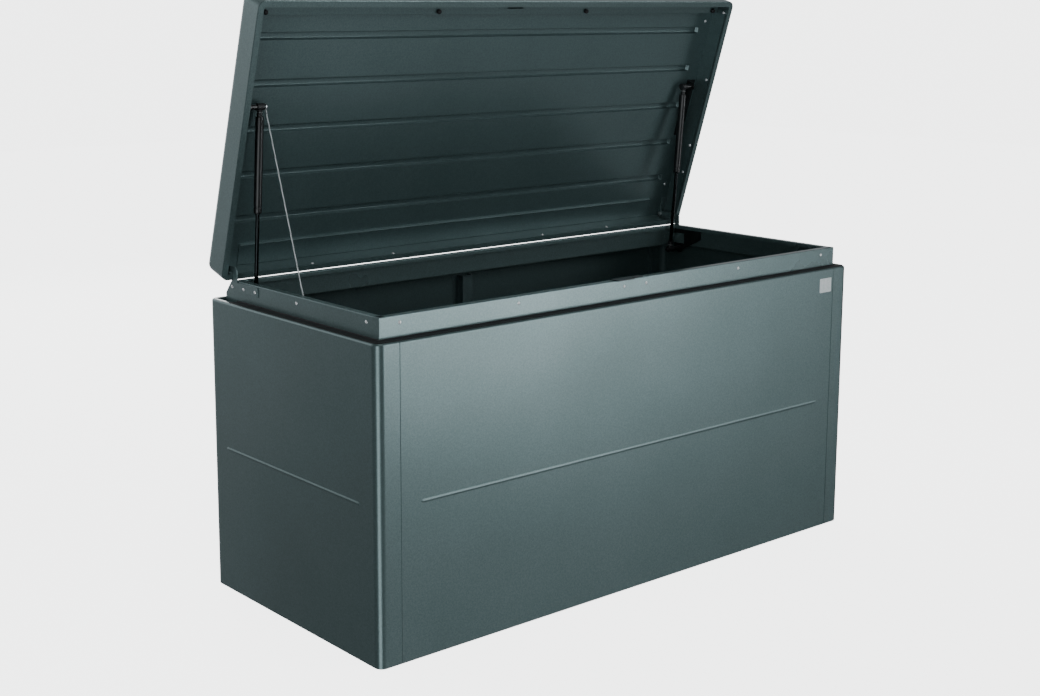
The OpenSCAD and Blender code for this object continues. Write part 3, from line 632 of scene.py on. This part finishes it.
def turned(mesh, profile, origin, axis, sides=28):
    """Revolves (distance along axis, radius) stations round a line."""
    axis = Vector(axis).normalized()
    side = axis.orthogonal().normalized()
    up = axis.cross(side)
    origin, rows = Vector(origin), []
    for along, radius in profile:
        centre = origin + axis * along
        if radius < 1e-6:
            rows.append([mesh.verts.new(centre)])
            continue
        turns = (2 * math.pi * k / sides for k in range(sides))
        rows.append([mesh.verts.new(centre + (side * math.cos(t) + up * math.sin(t)) * radius)
                     for t in turns])
    for a, b in zip(rows, rows[1:]):
        for k in range(sides):
            j = (k + 1) % sides
            corners = [a[k % len(a)], a[j % len(a)], b[j % len(b)], b[k % len(b)]]
            corners = [v for i, v in enumerate(corners) if v not in corners[:i]]
            if len(corners) > 2:
                mesh.faces.new(corners)


buffers = bmesh.new()
for x in (-0.757, -0.252, 0.252, 0.757):
    turned(buffers, [(0.0003, 0), (0.0003, 0.0035), (0.0008, 0.0050), (0.0020, 0.0059), (0.0052, 0.0060),
                     (0.0055, 0.0056), (0.0058, 0.0060), (0.0077, 0.0060), (0.0077, 0)],
           (x, -0.312, RIM_TOP), (0, 0, 1))
buffers.transform(OPEN_LID)
new_piece("rubber_buffers", buffers, rubber, "lid", "lid_buffers")

# ---------------------------------------------------------------------------
# Rivets and screws
# Bright aluminium blind rivets: a low domed head with the broken stem's pit.
# On the rim they hold the corners and brackets, on the lid the liner.
# ---------------------------------------------------------------------------

# rolled aluminium: bright and slightly cloudy, with faint marks about 1 mm across
aluminium = blank_material("rolled_aluminium")
turn_marks = add(aluminium, "TexNoise", Vector=add(aluminium, "TexCoord").outputs["Object"],
                 Scale=1 / (1.0 * MM), Detail=2.0)
rivet_tone = add(aluminium, "ValToRGB", {"stops": [(0.35, linear("#f1f4f4")), (0.65, linear("#ffffff"))]},
                 Fac=turn_marks.outputs["Fac"]).outputs["Color"]
rivet_rough = add(aluminium, "MapRange", Value=turn_marks.outputs["Fac"], To_Min=0.2, To_Max=0.32)
finish_material(aluminium, add(aluminium, "BsdfPrincipled", Base_Color=rivet_tone, Metallic=0.55,
                               Roughness=rivet_rough.outputs["Result"]))

RIVET_Z, HEAD_SIDES = 0.7685, 20
HEAD = [(0, 0.0042), (0.0005, 0.0042), (0.0010, 0.0038), (0.0015, 0.0030), (0.0019, 0.0019),
        (0.0020, 0.0011), (0.0016, 0.0009), (0.0015, 0)]
rim_heads = bmesh.new()
for x in (0.038, 0.3775, 0.717):
    for s in (-1, 1):
        turned(rim_heads, HEAD, (s * x, RIM_FRONT, RIVET_Z), (0, -1, 0), HEAD_SIDES)
for s in (-1, 1):
    for y in (0, -0.275):
        turned(rim_heads, HEAD, (s * RIM_X, y, RIVET_Z), (s, 0, 0), HEAD_SIDES)
    # these sit on the hinge bracket's plate, which stands outside the rail
    for y in (0.280, 0.228, 0.176):
        turned(rim_heads, HEAD, (s * 0.7745, y, RIVET_Z), (s, 0, 0), HEAD_SIDES)
new_piece("rim_rivet_heads", rim_heads, aluminium, "box", "rim_rivets")

SKIRT_RIVET_Z = 0.782
lid_heads = bmesh.new()
for s in (-1, 1):
    for y, z in ((-0.2715, LINER_Z), (0.072, 0.819), (0.244, LINER_Z)):
        turned(lid_heads, HEAD, (s * 0.773, y, z), (0, 0, -1), HEAD_SIDES)
    for y in (-0.3085, -0.103, 0.104, 0.191):
        turned(lid_heads, HEAD, (s * (LINER_X - LINER_T), y, SKIRT_RIVET_Z), (-s, 0, 0), HEAD_SIDES)
    for x in (0.265, 0.520):
        turned(lid_heads, HEAD, (s * x, LINER_REAR - LINER_T, SKIRT_RIVET_Z), (0, -1, 0), HEAD_SIDES)
lid_heads.transform(OPEN_LID)
new_piece("lid_rivet_heads", lid_heads, aluminium, "lid", "lid_rivets")

# zinc on steel: pale grey, with a patchwork of 3 mm spangles that differ a little in gloss
zinc = blank_material("zinc_plated_steel")
spangle = add(zinc, "TexVoronoi", Vector=add(zinc, "TexCoord").outputs["Object"], Scale=1 / (3 * MM))
zinc_tone = add(zinc, "ValToRGB", {"stops": [(0.1, linear("#aab2b3")), (0.9, linear("#d5dbdb"))]},
                Fac=spangle.outputs["Color"]).outputs["Color"]
zinc_rough = add(zinc, "MapRange", Value=spangle.outputs["Color"], To_Min=0.28, To_Max=0.42)
finish_material(zinc, add(zinc, "BsdfPrincipled", Base_Color=zinc_tone, Metallic=0.9,
                          Roughness=zinc_rough.outputs["Result"]))
eased("seam_bolts", 0.4 * MM, zinc, "box", 1)

# ---------------------------------------------------------------------------
# Corner brackets, hinges and pins
# The rim's corner angles and the hinge plates are the same coated steel. The
# bracket's neck rises behind the rail and carries a zinc-plated pin.
# ---------------------------------------------------------------------------

eased("rim_corner_brackets", 0.4 * MM, rim_paint, "box", 1)
for side in ("left", "right"):
    eased("hinge_bracket_" + side, 0.6 * MM, rim_paint, "box")
    eased("lid_hinge_plate_" + side, 0.6 * MM, lid_paint, "lid")
    eased("hinge_pin_" + side, 0.6 * MM, zinc, "lid")

# ---------------------------------------------------------------------------
# Name plate and latch keeper
# A blank pale enamelled plate on the front wall, and the black strip on the
# rim whose tongue the lock's cam turns under.
# ---------------------------------------------------------------------------

# enamel baked on a thin plate: near white and glossy, with a faint ripple of 9 mm
enamel = blank_material("pale_enamel")
enamel_cloud = add(enamel, "TexNoise", Vector=add(enamel, "TexCoord").outputs["Object"],
                   Scale=1 / (9 * MM), Detail=3.0)
enamel_tone = add(enamel, "ValToRGB", {"stops": [(0.35, linear("#eaf3f2")), (0.65, linear("#fbffff"))]},
                  Fac=enamel_cloud.outputs["Fac"]).outputs["Color"]
enamel_skin = add(enamel, "Bump", Height=enamel_cloud.outputs["Fac"], Strength=0.1, Distance=0.1 * MM)
finish_material(enamel, add(enamel, "BsdfPrincipled", Base_Color=enamel_tone, Roughness=0.3,
                            Normal=enamel_skin.outputs["Normal"], Coat_Weight=0.4, Coat_Roughness=0.1))
eased("name_plate", 0.3 * MM, enamel, "box", 3)

# stoved enamel on steel: near black, its gloss broken by 2 mm specks and by 14 mm rubbed patches
black_enamel = blank_material("black_stoved_enamel")
on_part = add(black_enamel, "TexCoord").outputs["Object"]
specks = add(black_enamel, "TexNoise", Vector=on_part, Scale=1 / (2 * MM), Detail=3.0)
rubs = add(black_enamel, "TexNoise", Vector=on_part, Scale=1 / (14 * MM), Detail=4.0)
black_tone = add(black_enamel, "ValToRGB", {"stops": [(0.3, linear("#0c0e0f")), (0.75, linear("#1a1e1f"))]},
                 Fac=rubs.outputs["Fac"]).outputs["Color"]
black_skin = add(black_enamel, "Bump", Height=specks.outputs["Fac"], Strength=0.12, Distance=0.12 * MM)
black_rough = add(black_enamel, "MapRange", Value=rubs.outputs["Fac"], To_Min=0.26, To_Max=0.46)
finish_material(black_enamel, add(black_enamel, "BsdfPrincipled", Base_Color=black_tone,
                                  Roughness=black_rough.outputs["Result"], Normal=black_skin.outputs["Normal"]))
eased("latch_keeper", 0.5 * MM, black_enamel, "box")

# ---------------------------------------------------------------------------
# Lock
# Turned and plated housing and plug in the front skirt; a stamped black cam on
# the plug's end.
# ---------------------------------------------------------------------------

eased("lock_housing", 0.4 * MM, zinc, "lid")
eased("lock_plug", 0.25 * MM, zinc, "lock")
eased("lock_cam", 0.4 * MM, black_enamel, "lock")

# ---------------------------------------------------------------------------
# Gas struts
# Each is a nitrided steel rod and a black enamelled tube, rolled in at its seal
# end, with moulded sockets that snap on the studs and hold by a wire clip.
# ---------------------------------------------------------------------------

STRUT_X, TUBE_L = 0.728, 0.235
LOWER, UPPER = Vector((0, 0.251, 0.715)), Vector((0, 0.20997, 1.20482))
AXIS = (UPPER - LOWER).normalized()
STRUT_L = (UPPER - LOWER).length
CLIP_R = 0.6 * MM

# nitrided steel: dark and glossy, with fine lines along the rod
rod_steel = blank_material("nitrided_rod_steel")
along_rod = add(rod_steel, "Mapping", Vector=add(rod_steel, "TexCoord").outputs["Object"],
                Scale=(1, 1, 0.05))
draw_lines = add(rod_steel, "TexNoise", Vector=along_rod.outputs["Vector"], Scale=1 / (1.0 * MM), Detail=2.0)
rod_tone = add(rod_steel, "ValToRGB", {"stops": [(0.35, linear("#1c1f20")), (0.65, linear("#2b2f30"))]},
               Fac=draw_lines.outputs["Fac"]).outputs["Color"]
rod_rough = add(rod_steel, "MapRange", Value=draw_lines.outputs["Fac"], To_Min=0.16, To_Max=0.28)
finish_material(rod_steel, add(rod_steel, "BsdfPrincipled", Base_Color=rod_tone, Metallic=1.0,
                               Roughness=rod_rough.outputs["Result"]))

for sign, side in ((-1, "left"), (1, "right")):
    foot = LOWER + Vector((sign * STRUT_X, 0, 0))
    rod = bmesh.new()
    turned(rod, [(0.014, 0), (0.014, 0.0047), (0.0143, 0.0050), (0.2880, 0.0050), (0.2880, 0.0080),
                 (0.2885, 0.0081), (0.2995, 0.0081), (0.3000, 0.0078), (0.3000, 0)], foot, AXIS)
    new_piece("polished_rod_" + side, rod, rod_steel, "strut_rod_" + side, "strut_rod_" + side)
    tube = bmesh.new()
    top, low = STRUT_L - 0.022, STRUT_L - 0.022 - TUBE_L
    turned(tube, [(low + 0.010, 0.0052), (low, 0.0052), (low, 0.0078), (low + 0.0006, 0.0090),
                  (low + 0.0022, 0.0098), (low + 0.0045, 0.0100), (low + 0.0125, 0.0100),
                  (low + 0.0135, 0.0094), (low + 0.0155, 0.0092), (low + 0.0175, 0.0094),
                  (low + 0.0185, 0.0100), (top - 0.0040, 0.0100), (top - 0.0018, 0.0097),
                  (top - 0.0005, 0.0088), (top, 0.0075), (top, 0)], foot, AXIS, 36)
    cylinder = "strut_cylinder_" + side
    new_piece("gas_tube_" + side, tube, black_enamel, cylinder, cylinder)
    eased("strut_socket_lower_" + side, 1.0 * MM, black_nylon, "strut_rod_" + side, 3)
    eased("strut_socket_upper_" + side, 1.0 * MM, black_nylon, cylinder, 3)
    # wire clip round each socket's neck
    for end, body, at, radius in (("lower", "strut_rod_" + side, 0.0135, 0.0072),
                                  ("upper", cylinder, STRUT_L - 0.0125, 0.0068)):
        clip = bmesh.new()
        ring = [(at + CLIP_R * math.cos(a), radius + CLIP_R * math.sin(a))
                for a in (2 * math.pi * k / 8 for k in range(9))]
        turned(clip, ring, foot, AXIS, 24)
        new_piece(f"socket_clip_{end}_{side}", clip, zinc, body)
    eased("strut_anchor_" + side, 0.5 * MM, black_enamel, "box")
    eased("strut_mount_" + side, 0.5 * MM, black_enamel, "lid")

# ---------------------------------------------------------------------------
# Stay cable
# Seven-strand wire rope of 3 mm in a clear sheath, crimped in a ferrule at
# each end. It is drawn taut, as with the lid open; the real one folds away as
# the lid comes down, and this piece does not.
# ---------------------------------------------------------------------------

# galvanised strands under clear PVC: pale bands of the lay under a smooth glossy coat
sheath = blank_material("clear_sheathed_wire")
lay = add(sheath, "TexWave", Vector=add(sheath, "TexCoord").outputs["Object"], Scale=1 / (9 * MM),
          Distortion=0.6)
wire_tone = add(sheath, "ValToRGB", {"stops": [(0.2, linear("#b9c3c4")), (0.8, linear("#eef3f3"))]},
                Fac=lay.outputs["Fac"]).outputs["Color"]
wire_skin = add(sheath, "Bump", Height=lay.outputs["Fac"], Strength=0.2, Distance=0.2 * MM)
wire_rough = add(sheath, "MapRange", Value=lay.outputs["Fac"], To_Min=0.22, To_Max=0.36)
finish_material(sheath, add(sheath, "BsdfPrincipled", Base_Color=wire_tone, Metallic=0.25,
                            Roughness=wire_rough.outputs["Result"], Normal=wire_skin.outputs["Normal"],
                            Coat_Weight=0.6, Coat_Roughness=0.12))

LAY_LENGTH, STRANDS, STEPS = 24 * MM, 6, 140
cable_low = Vector((-0.750, 0, RIVET_Z))
cable_high = Vector((-0.7135, UPPER.y, UPPER.z))
run = (cable_high - cable_low).normalized()
# the wire starts and stops inside the ferrules, short of the two eyes
start, stop = cable_low + run * 0.0178, cable_high - run * 0.0185
side_way = run.orthogonal().normalized()
up_way = run.cross(side_way)
cable = bmesh.new()
rings = []
for k in range(STEPS + 1):
    centre = start.lerp(stop, k / STEPS)
    twist = k / STEPS * (stop - start).length / LAY_LENGTH * 2 * math.pi
    ring = []
    for j in range(18):
        t = 2 * math.pi * j / 18
        r = 0.00138 + 0.00012 * math.cos(STRANDS * (t - twist / STRANDS))
        ring.append(centre + (side_way * math.cos(t) + up_way * math.sin(t)) * r)
    rings.append(ring)
loft(cable, rings)
wire = new_piece("stay_wire", cable, sheath, None, "stay_cable")
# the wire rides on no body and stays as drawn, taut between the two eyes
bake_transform(wire)
eased("stay_eye_lower", 0.4 * MM, zinc, "box")
eased("stay_eye_upper", 0.4 * MM, zinc, "strut_cylinder_left")
